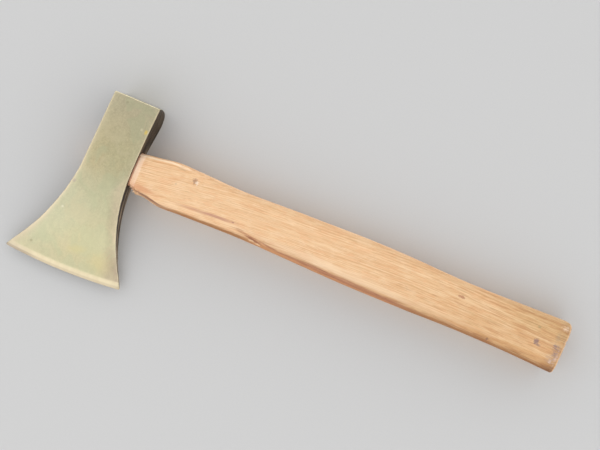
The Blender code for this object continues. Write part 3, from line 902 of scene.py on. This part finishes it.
def bronze_look():
    """Aluminium bronze: linished cheeks, arrises and rims with painted highlights, ground bevel,
    cast narrow sides with patina darkened as painted shade.
    """
    look = Look("cast_bronze")
    span, noise, spot, times, plus, swing = look.tools()
    maths, off = look.maths, look.off
    arris, side, bevel, micro, rim, toe_rim_highlight, heel_rim_highlight = [look.attribute(n) for n in HEAD_VALUES]
    x, y, z = [look.part(axis, look.place) for axis in "XYZ"]

    # Linished cheeks: a greenish yellow metal, warmer in clouds and along the heel side.
    clouds = noise((26, 34, 30), 1, 3, 0.55, 0.6)
    mottle = noise((2.6, 3.3, 3.2), 5, 3, 0.6)
    grit = noise((1.05, 1.25, 1.2), 8, 2, 0.65)
    patches = noise((15, 19, 16), 61, 3, 0.55, 0.8)
    flare = times(maths("MAXIMUM", maths("SUBTRACT", -20.0, y), 0.0), 0.32)
    from_heel = maths("SUBTRACT", x, flare)
    cheek = Coat(look, span(clouds, 0.35, 0.65), (0.53, 0.5, 0.32), (0.56, 0.508, 0.325))
    cheek.over((0.575, 0.495, 0.345), (from_heel, 4, 17), (y, 10, -30), 0.75)
    cheek.over((0.585, 0.525, 0.3), spot(6, -66, 20, 14, 0.8, swing(clouds, 1.5)), 0.35)
    cheek.over((0.535, 0.535, 0.368), spot(-26, -44, 17, 32, 0.8, swing(clouds, 1.5), -25), 0.6)
    cheek.dye((0.99, 0.945, 0.9), (y, 45, 33), (y, -18, -4), (x, 16, 8, 0.6, 1))
    # painted light: the heel-side roll of the blade lightened and made pinker
    cheek.dye((1.15, 1.11, 1.14), (from_heel, 8, 15), (y, -2, -12), (y, -62, -48))
    # painted shade: the blade's heel corner darkened, with a pink cast
    cheek.dye((0.92, 0.865, 0.915), (from_heel, 1, 9), (y, -52, -68))
    cheek.over((0.575, 0.51, 0.348), (y, 6, 44), 0.8)
    gritty = times(span(grit, 0.2, 0.8, -0.085, 0.085), span(y, 5, -35, 1, 0.6))
    cheek.shade(plus(span(mottle, 0.25, 0.75, 0.945, 1.055), gritty))
    cheek.over((0.492, 0.498, 0.318), (patches, 0.5, 0.62), 0.42)
    cheek.over((0.605, 0.535, 0.35), (patches, 0.47, 0.36), 0.38)
    gold = plus(spot(-0.3, -69.5, 6, 2.6, 0.8, swing(mottle, 1.6), 20),
                spot(19, -73.5, 8, 7, 0.9, swing(clouds, 1.5)))
    cheek.over((0.615, 0.53, 0.27), gold, 0.45)
    cheek.over((0.86, 0.64, 0.14), spot(17, 28.2, 1, 1.6, 0.5, swing(mottle, 2.5)), 0.7)
    for mark_x, mark_y, radius, share, colour in CHEEK_MARKS:
        cheek.over(colour, spot(mark_x, mark_y, radius, radius), share)

    # Painted highlights on the rims and arrises, and the ground bevel, with painted shade on it
    # toward the toe.
    cheek.over((0.72, 0.595, 0.43), toe_rim_highlight, (y, 46, -20, 0.3, 0.95))
    # painted highlight along the heel side of the blade
    cheek.dye((1.5, 1.46, 1.46), times(heel_rim_highlight, span(y, -34, -60)))
    cheek.over((0.9, 0.78, 0.48), rim, (noise((2, 9, 2), 63), 0.3, 0.6, 0.65, 0.95))
    cheek.over((0.92, 0.82, 0.58), arris, (noise((2, 5, 2), 13, 3), 0.25, 0.6, 0.45, 1),
               (span(y, 45.5, 46.6), 0, 1, 1, 0.35))
    ground = look.mix(span(noise((3.5, 9, 9), 17, 3), 0.3, 0.7),
                      (0.555, 0.475, 0.32), (0.6, 0.52, 0.355))
    cheek.over(ground, bevel)
    # The micro bevel's own darker tan, laid on more strongly toward the toe as painted shade, then
    # painted shade over the bevel toward the toe.
    cheek.over((0.3, 0.235, 0.175), micro, (x, -20, -42, 0.34, 0.95))
    cheek.over((0.44, 0.385, 0.29), bevel, (x, -22, -46), 0.45)

    # Cast sides: brown patina in lengthwise streaks, laid darker than the metal's own patina as
    # painted shade, with lengthwise glints of painted highlight and paler tan lines.
    streaks = noise((1.3, 11, 1), 21, 4, 0.6, 0.3)
    bars = noise((3, 26, 3.4), 65, 3, 0.6, 0.5)
    blade = span(y, -10, -20)
    patina_and_shade = Coat(look, span(streaks, 0.36, 0.62), (0.03, 0.021, 0.014), (0.105, 0.076, 0.05))
    # painted highlight: lengthwise glints on the cast sides
    glints = span(noise((0.9, 7, 0.7), 27, 4, 0.65), 0.6, 0.72)
    patina_and_shade.over((0.3, 0.235, 0.145), glints, 0.7)
    patina_and_shade.over((0.185, 0.142, 0.094), (bars, 0.49, 0.66), 0.6)
    patina_and_shade.over((0.026, 0.019, 0.013), (bars, 0.47, 0.32), 0.65)
    patina_and_shade.over((0.048, 0.034, 0.032), blade, 0.75)
    seams = maths("MAXIMUM", span(off(z, 0.3), 2.6, 1.2), span(z, -3.8, -5.2))
    patina_and_shade.over((0.33, 0.258, 0.178), seams, blade, (bars, 0.35, 0.55, 0.45, 0.9))
    patina_and_shade.over((0.03, 0.021, 0.015), (off(z, 3), 8, 3), (off(y, 19), 8, 3), 0.6)
    patina_and_shade.over((0.082, 0.056, 0.03), (y, 25, 34), 0.5)
    patina_and_shade.dye((0.72, 0.66, 0.58), (y, 8, 26))
    patina_and_shade.over((0.33, 0.272, 0.2), (off(z, -8), 5.5, 2), (y, 24, 14), (y, 2, 10),
                (bars, 0.38, 0.56, 0.5, 1), 0.85)
    patina_and_shade.shade(span(span(noise((4, 14, 5), 29, 3), 0.35, 0.6), 0, 1, 0.7, 1.15))

    sheen = plus(span(mottle, 0.2, 0.8, 0.37, 0.43), times(arris, -0.1), times(bevel, -0.08))
    scratches = noise((0.16, 14, 0.16), 31, 2, 0.6, 0.05)
    pits = span(noise((0.35, 0.35, 0.35), 33), 0.62, 0.8)
    cast = plus(times(noise((0.7, 2.6, 0.7), 35, 5, 0.65), side),
                times(noise((0.3, 0.3, 0.3), 37, 3), side, 0.3))
    brushed = maths("SUBTRACT", times(scratches, maths("SUBTRACT", 1.0, side)), times(pits, 0.35))
    look.set(Base_Color=look.mix(side, cheek.colour, patina_and_shade.colour),
             Metallic=span(side, 0, 1, 1, 0.3), Specular_IOR_Level=0.2,
             Roughness=look.mixed(sheen, span(streaks, 0.3, 0.7, 0.62, 0.5), side),
             Normal=look.bump(cast, 0.16, Normal=look.bump(brushed, 0.006)))
    return look.material


def handle_look():
    """Pale straight-grained hardwood, sanded and waxed, with handling marks and painted shade and
    highlights on its arrises.
    """
    look = Look("pale_hardwood")
    span, noise, spot, times, plus, swing = look.tools()
    grain = look.attribute("grain", "Vector")
    end, end_rim_highlight, torn, chip, low_arris_shade, high_arris_shade_and_highlight = [look.attribute(n) for n in HANDLE_VALUES]
    x, y, z = [look.part(axis, look.place) for axis in "XYZ"]
    grain_y, grain_z = [look.part(axis, grain) for axis in "YZ"]
    upper = span(z, 0, 3)
    toward_butt = span(x, 150, 345)

    def changing(at_head, at_butt):
        return span(toward_butt, 0, 1, at_head, at_butt)

    # Growth rings cut the face at a low angle: fine light and dark lines along the grain.
    ring = plus(times(grain_y, 0.94), times(grain_z, 0.34), times(grain_z, grain_z, 0.006))
    lines = look.add("CombineXYZ")
    look.fill(lines, X=times(x, 0.0045), Y=ring, Z=times(grain_z, 0.02))
    lines = lines.outputs[0]
    warp = noise((1, 5, 1), 31, where=lines)
    wave = look.maths("SINE", plus(times(ring, 2 * math.pi / RING_PITCH), times(warp, 16)))
    wave = times(span(wave, -0.2, 1), span(noise((40, 5, 5), 35, where=grain), 0.38, 0.58, 0.35, 1))
    rings = noise((1, 0.95, 1), 2, 3, 0.6, where=lines)
    wide_rings = noise((1.3, 5.2, 1), 6, where=lines)
    fibres = noise((11, 0.42, 0.42), 9, 3, 0.6, where=grain)
    fine = noise((3, 0.16, 0.16), 12, 2, 0.6, where=grain)
    streaks = noise((34, 0.9, 1.6), 15, 3, 0.55, where=grain)
    clouds = noise((46, 9, 9), 18, where=grain)
    blush = noise((12, 5, 6), 67, 3, 0.6, 0.5, where=grain)
    bands = noise((26, 1.25, 1.6), 54, 3, 0.6, 0.25, where=grain)
    short_lines = noise((9, 0.55, 0.6), 58, 2, 0.6, 0.3, where=grain)
    dashes = noise((5.5, 0.42, 0.5), 52, 1, 0.4, where=grain)
    lined = plus(times(bands, changing(0.4, 0.72)), times(short_lines, 0.46),
                 times(wave, changing(0.14, 0.03)), changing(-0.49, -0.6))
    strength = changing(0.52, 0.9)
    wood = Coat(look, span(clouds, 0.34, 0.66), (0.8, 0.5, 0.272), (0.835, 0.548, 0.312))
    wood.over((0.805, 0.45, 0.235), (blush, 0.5, 0.62), 0.55)
    wood.over((0.88, 0.61, 0.385), (blush, 0.47, 0.35), 0.5)
    wood.over((0.65, 0.35, 0.175), (lined, 0, 0.12), strength)
    wood.over((0.93, 0.68, 0.43), (lined, 0, -0.11), strength, 0.75)
    wood.over((0.64, 0.352, 0.16), (rings, 0.52, 0.64), changing(0.22, 0.34))
    wood.over((0.9, 0.64, 0.4), (rings, 0.46, 0.36), 0.3)
    wood.over((0.69, 0.385, 0.18), (wide_rings, 0.52, 0.7), 0.22)
    wood.over((0.56, 0.32, 0.13), (streaks, 0.56, 0.74), changing(0.25, 0.75))
    wood.over((0.48, 0.24, 0.11), (dashes, 0.66, 0.76), 0.4)
    wood.over((0.52, 0.28, 0.13), (fibres, 0.6, 0.74), 0.3)
    wood.shade(plus(span(fine, 0.2, 0.8, 0.95, 1.05), span(fibres, 0.3, 0.7, 0.03, -0.03)))

    # Darker and yellower toward the butt.
    wood.dye((0.82, 0.78, 0.68), toward_butt, 0.62)
    wood.dye((0.88, 0.87, 0.8), (x, 285, 325), (y, 1, 10), 0.9)
    wood.dye((0.69, 0.66, 0.59), (x, 337, 347.5),
             (plus(y, times(clouds, 8)), 12, -6, 0.65, 1), 0.75)
    wood.dye((0.8, 0.7, 0.6), (x, 322, 345), (y, -6, -14.5), 0.9)
    wood.dye((0.95, 0.895, 0.785), (x, 180, 240), (y, -5.5, -9), (y, -13.8, -11.6))

    # Head end: reddish at the joint, with a thin line of painted shade in the gap against the head,
    # a pale shaved facet lightened further as painted light, brown torn fibres below it.
    wood.over((0.9, 0.62, 0.44), (x, 22.9, 22.1), 0.5)
    # pale crushed fibres of the facet, lightened further as painted light against the shade cast by
    # the head
    wood.over((1.0, 0.77, 0.59), (x, 22.4, 19.8), (y, -8, 3.5), (z, 1, 5), 0.55)
    wood.over((0.96, 0.8, 0.64), (x, 20.9, 22), (x, 23.1, 22.3), (blush, 0.6, 0.4, 0.35, 1), 0.22)
    # painted shade: a thin reddish line in the gap where the handle meets the head
    wood.over((0.56, 0.22, 0.12), (x, 19.2, 18.75), (z, 3, 6, 0.4, 1), 0.65)
    wood.over((0.64, 0.27, 0.13), spot(28.2, -9.9, 8.5, 2, 0.6, swing(fibres, 3)), upper, 0.6)
    ragged = span(noise((2.6, 0.6, 0.8), 23, 4, 0.65), 0.47, 0.62)
    wood.over((0.33, 0.15, 0.075), torn, ragged, 0.55)

    # Long arrises: painted shade on the blade side and, past the collar, on the poll side, and a
    # painted highlight on the poll side at the collar.
    shade_patches = span(noise((12, 1.15, 1.3), 75, 3, 0.65, where=grain), 0.38, 0.6, 0.62, 1.28)
    low_arris_shade = look.mixed(span(low_arris_shade, 0.3, 1), low_arris_shade, span(x, 95, 125))
    low_arris_shade = times(low_arris_shade, look.mixed(shade_patches, 1.0, span(low_arris_shade, 0.55, 0.95)),
                      span(x, 26, 60, 0.35, 1))
    # painted shade along the blade-side arris
    wood.dye((0.42, 0.295, 0.185), low_arris_shade)
    # painted shade along the poll-side arris
    wood.dye((0.85, 0.83, 0.79), high_arris_shade_and_highlight, (x, 45, 85))
    wood.dye((0.94, 0.885, 0.82), (high_arris_shade_and_highlight, 0, 0.45), (high_arris_shade_and_highlight, 0.95, 0.75),
             (x, 80, 45), (x, 21, 24, 0.4, 1))
    # painted highlight along the poll-side arris at the collar
    wood.over((1.0, 0.8, 0.56), (high_arris_shade_and_highlight, 0.86, 1), (x, 62, 40), 0.6)
    outline = times(span(low_arris_shade, 0.2, 0.34), span(x, 23, 28), span(x, 60, 42))
    wood.over((0.33, 0.18, 0.105), outline, 0.55)

    # The collar's split and its slivers.
    below_split = plus(y, times(plus(x, -SPLIT_X), SPLIT_SLOPE))
    under = times(span(below_split, -14.9, -15.5), span(x, 25, 28), span(x, 46, 39))
    wood.over((0.9, 0.61, 0.36), under, upper, 0.5)
    wood.over((0.93, 0.69, 0.48), chip, 0.85)
    split = spot(33.5, -13.9, 10.5, 0.62, 0.5, swing(fibres, 1.6), -8.3)
    wood.over((0.21, 0.085, 0.045), split, upper, 0.8)

    # Reddish-brown heartwood along the lower arris, and the broken line where it begins.
    wander = noise((30, 3, 3), 28, 3)
    band = times(span(plus(y, swing(wander, 5)), -11.2, -13.6), span(x, 125, 165),
                 span(x, 262, 205), span(z, -6, -1),
                 span(noise((26, 0.7, 0.9), 33, 3, 0.6), 0.34, 0.6, 0.45, 1),
                 span(y, -15.8, -14.6, 0.35, 1))
    above = spot(205, -8.6, 70, 2.6, 0.8, swing(wander, 2.5))
    wood.over((0.94, 0.72, 0.5), above, upper, 0.4)
    wood.over((0.37, 0.15, 0.075), band, 0.9)
    line_y = plus(span(x, 98, 142, -9.6, -13.6), span(x, 142, 195, 0, -1.6))
    from_line = plus(y, times(line_y, -1.0))
    off_line = look.maths("ABSOLUTE", plus(from_line, swing(wander, 3)))
    fading = span(x, 240, 215)
    stained = times(span(x, 104, 124), fading, upper)
    wood.over((0.64, 0.3, 0.13), (from_line, 0.6, -0.6), stained,
              (noise((16, 0.6, 0.7), 73, 3, 0.6), 0.36, 0.6, 0.35, 1), 0.62)
    line = times(span(off_line, 1.05, 0.25), span(x, 96, 108), fading, upper)
    broken = span(noise((7, 1, 1), 71, 3, 0.65), 0.4, 0.56, 0.15, 1)
    wood.over((0.37, 0.15, 0.075), line, broken, (x, 130, 160, 0.85, 0.5))
    core = spot(115.5, -12.2, 6.5, 0.75, 0.6, swing(fibres, 1.6), -8.9)
    wood.over((0.26, 0.09, 0.04), core, upper, 0.9)
    cracks = span(noise((20, 0.55, 0.6), 69, 2, 0.6, 0.2, where=grain), 0.55, 0.64)
    wood.over((0.18, 0.065, 0.035), cracks, band, 0.8)

    # Marks from use, on the face that lies up, with painted shade and a painted highlight at the
    # dent near the collar, and a painted highlight on the rim of the butt.
    patchy = swing(noise((1.2, 0.9, 1.2), 38, 3), 2.6)
    hatched = span(noise((3.6, 0.95, 1), 77, 3, 0.65), 0.41, 0.56, 0.1, 1.35)
    for mark_x, mark_y, half_x, half_y, soft, share, colour in HANDLE_MARKS:
        mark = spot(mark_x, mark_y, half_x, half_y, soft, patchy)
        if mark_x > HATCHED_FROM_X:
            mark = times(mark, hatched)
        wood.over(colour, mark, upper, share)
    for mark_x, mark_y, half_x, share in RED_STREAK:
        mark = spot(mark_x, mark_y, half_x, 0.95, 0.7, swing(fibres, 2.2), 4.4)
        wood.over((0.45, 0.195, 0.15), mark, upper, share)
    grime = times(span(x, 336, 347), span(noise((3, 2.2, 3), 43, 4, 0.6), 0.48, 0.66))
    wood.over((0.36, 0.25, 0.18), grime, 0.3)
    # painted highlight on the rounded rim of the butt, weaker where it is grimy
    wood.over((0.9, 0.59, 0.37), end_rim_highlight, (grime, 0, 1, 0.75, 0.45))

    # End grain, where the butt and the tongue are sawn across.
    pores = span(look.cells((8, 0.55, 0.55), 47), 0.32, 0.1)
    rays = noise((9, 0.35, 3.2), 49)
    cross = Coat(look, span(rings, 0.42, 0.62), (0.69, 0.44, 0.24), (0.43, 0.235, 0.11))
    cross.over((0.78, 0.54, 0.33), (rays, 0.55, 0.68), 0.35)
    cross.over((0.24, 0.12, 0.055), pores, 0.55)

    relief = plus(times(rings, 0.5), times(fibres, 0.35), times(fine, 0.15))
    open_pores = plus(times(pores, end, -0.5), times(span(fibres, 0.62, 0.76), -0.4))
    look.set(Base_Color=look.mix(end, wood.colour, cross.colour), Specular_IOR_Level=0.36,
             Roughness=plus(span(clouds, 0.3, 0.7, 0.5, 0.58), span(fibres, 0.3, 0.7, -0.04, 0.05),
                            times(end, 0.14), times(torn, 0.12)),
             Normal=look.bump(open_pores, 0.06, Normal=look.bump(relief, 0.05)))
    return look.material


def wedge_wood_look():
    """Darker close-grained hardwood; its sawn end is crushed by the hammer."""
    look = Look("dark_hardwood")
    span, noise, _, times, plus, _ = look.tools()
    fibres = noise((9, 0.5, 0.4), 3, 3, 0.6)
    rings = noise((14, 1.6, 0.9), 7, 3, 0.55, 0.4)
    pores = span(look.cells((6, 0.45, 0.4), 11), 0.34, 0.1)
    crushed = span(noise((2, 1.4, 1), 15, 4, 0.6), 0.38, 0.64)
    face = Coat(look, span(rings, 0.36, 0.64), (0.42, 0.235, 0.11), (0.285, 0.145, 0.065))
    face.over((0.16, 0.08, 0.035), (fibres, 0.55, 0.72), 0.4)
    cross = Coat(look, crushed, (0.25, 0.13, 0.06), (0.4, 0.235, 0.12))
    cross.over((0.085, 0.042, 0.02), pores, 0.6)
    relief = plus(times(pores, -0.6), times(crushed, 0.5), times(fibres, 0.4))
    look.set(Base_Color=look.mix(look.attribute("end"), face.colour, cross.colour),
             Roughness=span(crushed, 0, 1, 0.72, 0.58), Specular_IOR_Level=0.32,
             Normal=look.bump(relief, 0.09))
    return look.material


def wedge_metal_look():
    """Brass with a dull hammered end and brown in its hollows."""
    look = Look("hammered_brass")
    span, noise, _, times, plus, _ = look.tools()
    dents = noise((1.2, 1, 1.1), 3, 3, 0.55)
    stain = span(noise((1.8, 1.6, 1.6), 9, 4, 0.6), 0.4, 0.62)
    brushed = noise((6, 0.2, 0.2), 13)
    metal = Coat(look, stain, (0.64, 0.5, 0.24), (0.34, 0.235, 0.11))
    metal.over((0.83, 0.7, 0.4), (dents, 0.56, 0.7), look.attribute("end"), 0.8)
    look.set(Base_Color=metal.colour, Metallic=1.0,
             Roughness=plus(span(stain, 0, 1, 0.34, 0.52), span(brushed, 0.3, 0.7, -0.03, 0.03)),
             Normal=look.bump(plus(times(dents, 0.8), times(brushed, 0.12)), 0.1))
    return look.material


# ---- stage

FLOOR_SIZE = 40.0
FLOOR_SPECKLES = 900.0
FLOOR_SHADES = (0.575, 0.605)
CAMERA_AT = (-0.00725, 0.03031, 0.613)
CAMERA_TURN = math.radians(23.1)
LENS = 50.0
SENSOR = 36.0
SKY_OVERHEAD = 0.37
SKY_HORIZON = 2.03
SKY_HORIZON_PLUS_Y = 0.30
SKY_HIGH_MINUS_Y = 0.90
SKY_HIGH_MINUS_X = 0.45
SKY_DIMMEST = 0.2
KEY_AT = (-0.35, -1.45, 1.35)
KEY_SIZE = (2.0, 1.5)
KEY_WATTS = 3.0


def make_floor():
    """A large pale sheet with a faint unevenness."""
    mesh = bpy.data.meshes.new("floor")
    half = FLOOR_SIZE / 2
    corners = [(-half, -half, 0), (half, -half, 0), (half, half, 0), (-half, half, 0)]
    mesh.from_pydata(corners, [], [(0, 1, 2, 3)])
    material = bpy.data.materials.new("pale_floor")
    material.use_nodes = True
    paint = Nodes(material.node_tree)
    speckle = paint.add("TexNoise")
    paint.fill(speckle, Vector=paint.add("TexCoord").outputs["Object"], Scale=FLOOR_SPECKLES)
    shade = paint.add("MapRange")
    paint.fill(shade, Value=speckle.outputs["Fac"], To_Min=FLOOR_SHADES[0], To_Max=FLOOR_SHADES[1])
    paint.fill(paint.tree.nodes["Principled BSDF"], Base_Color=shade.outputs["Result"],
               Roughness=0.9, Specular_IOR_Level=0.2)
    mesh.materials.append(material)
    show("floor", mesh)


def make_sky():
    """Soft light from all round: bright high up on the -Y side, and low down on the +Y side."""
    world = bpy.data.worlds.new("studio")
    bpy.context.scene.world = world
    world.use_nodes = True
    sky = Nodes(world.node_tree)
    direction = sky.add("TexCoord").outputs["Generated"]
    x, y, z = [sky.part(axis, direction) for axis in "XYZ"]
    low = sky.maths("SUBTRACT", 1.0, sky.maths("MAXIMUM", z, 0.0))
    tilt = sky.maths("MULTIPLY_ADD", y, SKY_HORIZON_PLUS_Y, 1.0)
    across = sky.maths("MULTIPLY_ADD", x, -SKY_HIGH_MINUS_X, sky.times(y, -SKY_HIGH_MINUS_Y))
    high = sky.times(across, sky.times(z, z))
    level = sky.plus(sky.times(low, tilt, SKY_HORIZON), high, SKY_OVERHEAD)
    sky.fill(sky.tree.nodes["Background"], Color=(1.0, 1.0, 1.0, 1.0),
             Strength=sky.maths("MAXIMUM", level, SKY_DIMMEST))


def make_key():
    light = bpy.data.lights.new("key", "AREA")
    light.shape = "RECTANGLE"
    light.size, light.size_y = KEY_SIZE
    light.energy = KEY_WATTS
    key = show("key", light)
    key.location = KEY_AT
    key.rotation_euler = (-Vector(KEY_AT)).to_track_quat("-Z", "Y").to_euler()


def make_camera():
    data = bpy.data.cameras.new("camera")
    data.lens = LENS
    data.sensor_width = SENSOR
    data.clip_start = 0.01
    data.clip_end = 50.0
    camera = show("camera", data)
    camera.location = CAMERA_AT
    camera.rotation_euler = (0.0, 0.0, CAMERA_TURN)
    bpy.context.scene.camera = camera


TOOL = tool_axes()
bpy.context.scene.view_settings.view_transform = "Standard"
make_camera()
make_sky()
make_key()
make_floor()
make_head(bronze_look())
make_handle(handle_look())
make_kerf_wedge(wedge_wood_look())
brass = wedge_metal_look()
for node, middle in CROSS_WEDGE_YS.items():
    make_cross_wedge(node, middle, brass)
